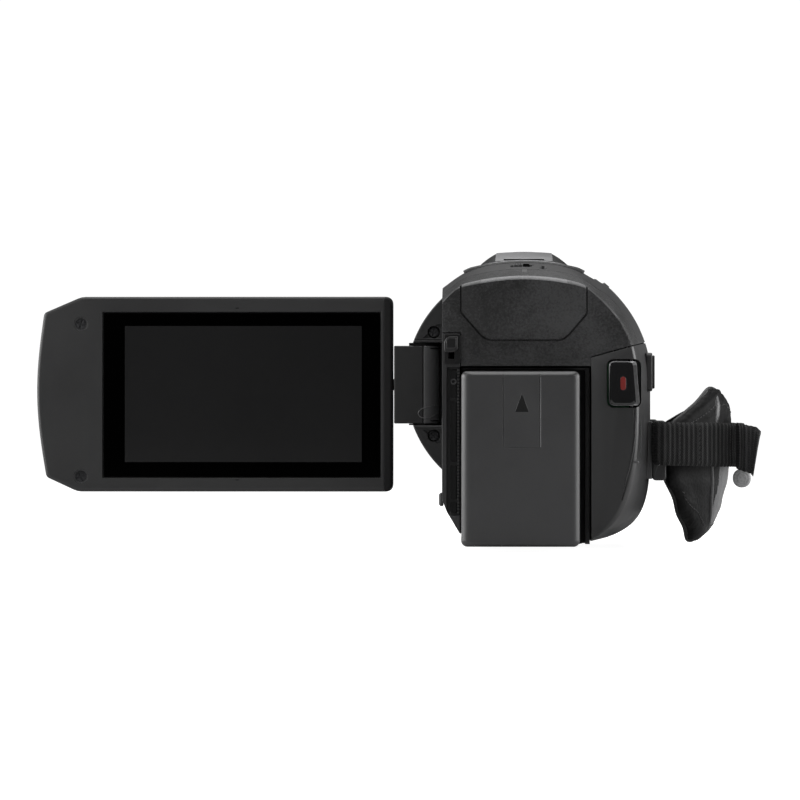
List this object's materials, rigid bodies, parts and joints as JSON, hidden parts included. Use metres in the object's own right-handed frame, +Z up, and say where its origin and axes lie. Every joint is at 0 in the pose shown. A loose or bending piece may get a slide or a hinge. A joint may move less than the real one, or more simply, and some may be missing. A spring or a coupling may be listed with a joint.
{
  "type": "camcorder",
  "caption": "Hand-held camcorder with a swing-out tilting LCD panel, clip-on battery at the back, record button and padded hand strap.",
  "frame": {"origin": "on the flat underside, straight below the lens axis, 14 mm behind the tripod socket", "axes": "+Z up, +Y along the lens towards the subject, +X towards the hand strap; the LCD opens towards -X"},
  "size_m": [0.1992, 0.174, 0.0797],
  "materials": {
    "textured_plastic": "fine spark-eroded grain",
    "smooth_plastic": "smooth satin black",
    "gloss_black": "polished black",
    "satin_cap": "satin grey",
    "dark_rubber": "ribbed",
    "steel": "plain",
    "gold_contact": "contact spring",
    "lens_glass": "coated",
    "screen_glass": "polished cover glass",
    "circuit_board": "solder mask",
    "webbing": "ribbed grosgrain",
    "soft_leather": "fine grain, rolled edge"
  },
  "bodies": {
    "housing": {"av_socket": "steel", "base_cover": "textured_plastic", "battery_bay": "smooth_plastic", "battery_contacts": "gold_contact", "card_slot": "steel", "chassis": "steel", "dc_socket": "steel", "front_chin": "textured_plastic", "front_housing": "textured_plastic", "front_lens": "lens_glass", "grip_cover": "smooth_plastic", "hinge_bracket": "steel", "hinge_cover_lower": "textured_plastic", "hinge_cover_upper": "textured_plastic", "hinge_pin": "steel", "hinge_screw_lower": "steel", "hinge_screw_upper": "steel", "hood_cap": "satin_cap", "image_sensor": "gloss_black", "left_cover": "textured_plastic", "lens_barrel": "smooth_plastic", "lens_bezel": "smooth_plastic", "main_board": "circuit_board", "memory_card": "smooth_plastic", "microphone": "steel", "rear_cover": "textured_plastic", "rec_switch": "circuit_board", "sensor_board": "circuit_board", "strap_eyelet_front": "smooth_plastic", "strap_eyelet_rear": "smooth_plastic", "strap_pad": "soft_leather", "strap_tail": "webbing", "strap_tongue": "soft_leather", "strap_webbing": "webbing", "top_cover": "textured_plastic", "tripod_socket": "steel", "zoom_motor": "steel"},
    "lcd_arm": {"hinge_arm": "smooth_plastic", "tilt_shaft": "steel"},
    "lcd_panel": {"lcd_frame": "smooth_plastic", "lcd_back_cover": "smooth_plastic", "lcd_glass": "screen_glass", "lcd_display": "gloss_black", "lcd_screw_upper": "smooth_plastic", "lcd_screw_lower": "smooth_plastic"},
    "battery": {"battery_pack": "smooth_plastic"},
    "latch": {"battery_latch": "smooth_plastic"},
    "rec_key": {"rec_button": "gloss_black"},
    "zoom_key": {"zoom_lever": "smooth_plastic"},
    "photo_key": {"photo_button": "smooth_plastic"},
    "mode_key": {"mode_switch": "smooth_plastic"},
    "power_key": {"power_button": "smooth_plastic"},
    "terminal_door": {"terminal_cover": "smooth_plastic"},
    "card_door": {"card_cover": "smooth_plastic"},
    "dc_door": {"dc_cover": "dark_rubber"},
    "ring": {"lens_ring": "dark_rubber"},
    "shutter_top": {"lens_shutter_upper": "smooth_plastic"},
    "shutter_bottom": {"lens_shutter_lower": "smooth_plastic"},
    "zoom_group": {"zoom_holder": "smooth_plastic", "zoom_lens": "lens_glass"}
  },
  "joints": [
    {"name": "lcd_open", "type": "hinge", "parent": "housing", "child": "lcd_arm", "pos_m": [-0.028, 0.042, 0.0428], "axis": [0, 0, 1], "range_deg": [0, 90]},
    {"name": "lcd_tilt", "type": "hinge", "parent": "lcd_arm", "child": "lcd_panel", "pos_m": [-0.0367, 0.042, 0.0428], "axis": [-1, 0, 0], "range_deg": [-90, 180]},
    {"name": "battery_slide", "type": "slide", "parent": "housing", "child": "battery", "axis": [0, 0, -1], "range_m": [0, 0.012]},
    {"name": "latch_slide", "type": "slide", "parent": "housing", "child": "latch", "axis": [0, 0, -1], "range_m": [0, 0.0025], "stiffness_N_per_m": 60},
    {"name": "rec_press", "type": "slide", "parent": "housing", "child": "rec_key", "axis": [0, 1, 0], "range_m": [0, 0.001], "stiffness_N_per_m": 300},
    {"name": "zoom_turn", "type": "hinge", "parent": "housing", "child": "zoom_key", "pos_m": [0.02134, -0.008, 0.06843], "axis": [0.6428, 0, 0.766], "range_deg": [-18, 18], "stiffness_Nm_per_rad": 0.01},
    {"name": "photo_press", "type": "slide", "parent": "housing", "child": "photo_key", "axis": [-0.6428, 0, -0.766], "range_m": [0, 0.0008], "stiffness_N_per_m": 300},
    {"name": "mode_slide", "type": "slide", "parent": "housing", "child": "mode_key", "axis": [1, 0, 0], "range_m": [0, 0.002]},
    {"name": "power_press", "type": "slide", "parent": "housing", "child": "power_key", "axis": [1, 0, 0], "range_m": [0, 0.0006], "stiffness_N_per_m": 300},
    {"name": "terminal_open", "type": "hinge", "parent": "housing", "child": "terminal_door", "pos_m": [-0.02155, -0.008, 0.033], "axis": [0, 0, 1], "range_deg": [-100, 0]},
    {"name": "card_open", "type": "hinge", "parent": "housing", "child": "card_door", "pos_m": [-0.02155, -0.042, 0.02375], "axis": [0, 0, 1], "range_deg": [-100, 0]},
    {"name": "dc_open", "type": "hinge", "parent": "housing", "child": "dc_door", "pos_m": [0.03395, -0.045, 0.0503], "axis": [0, -1, 0], "range_deg": [0, 80]},
    {"name": "ring_turn", "type": "hinge", "parent": "housing", "child": "ring", "pos_m": [0, 0.082, 0.043], "axis": [0, 1, 0], "continuous": true},
    {"name": "shutter_top_slide", "type": "slide", "parent": "housing", "child": "shutter_top", "axis": [0, 0, -1], "range_m": [0, 0.0111]},
    {"name": "shutter_bottom_slide", "type": "slide", "parent": "housing", "child": "shutter_bottom", "axis": [0, 0, 1], "range_m": [0, 0.0111]},
    {"name": "zoom_travel", "type": "slide", "parent": "housing", "child": "zoom_group", "axis": [0, 1, 0], "range_m": [-0.012, 0.014]}
  ],
  "couplings": [
    {"joint": "shutter_bottom_slide", "follows": "shutter_top_slide", "ratio": 1}
  ]
}
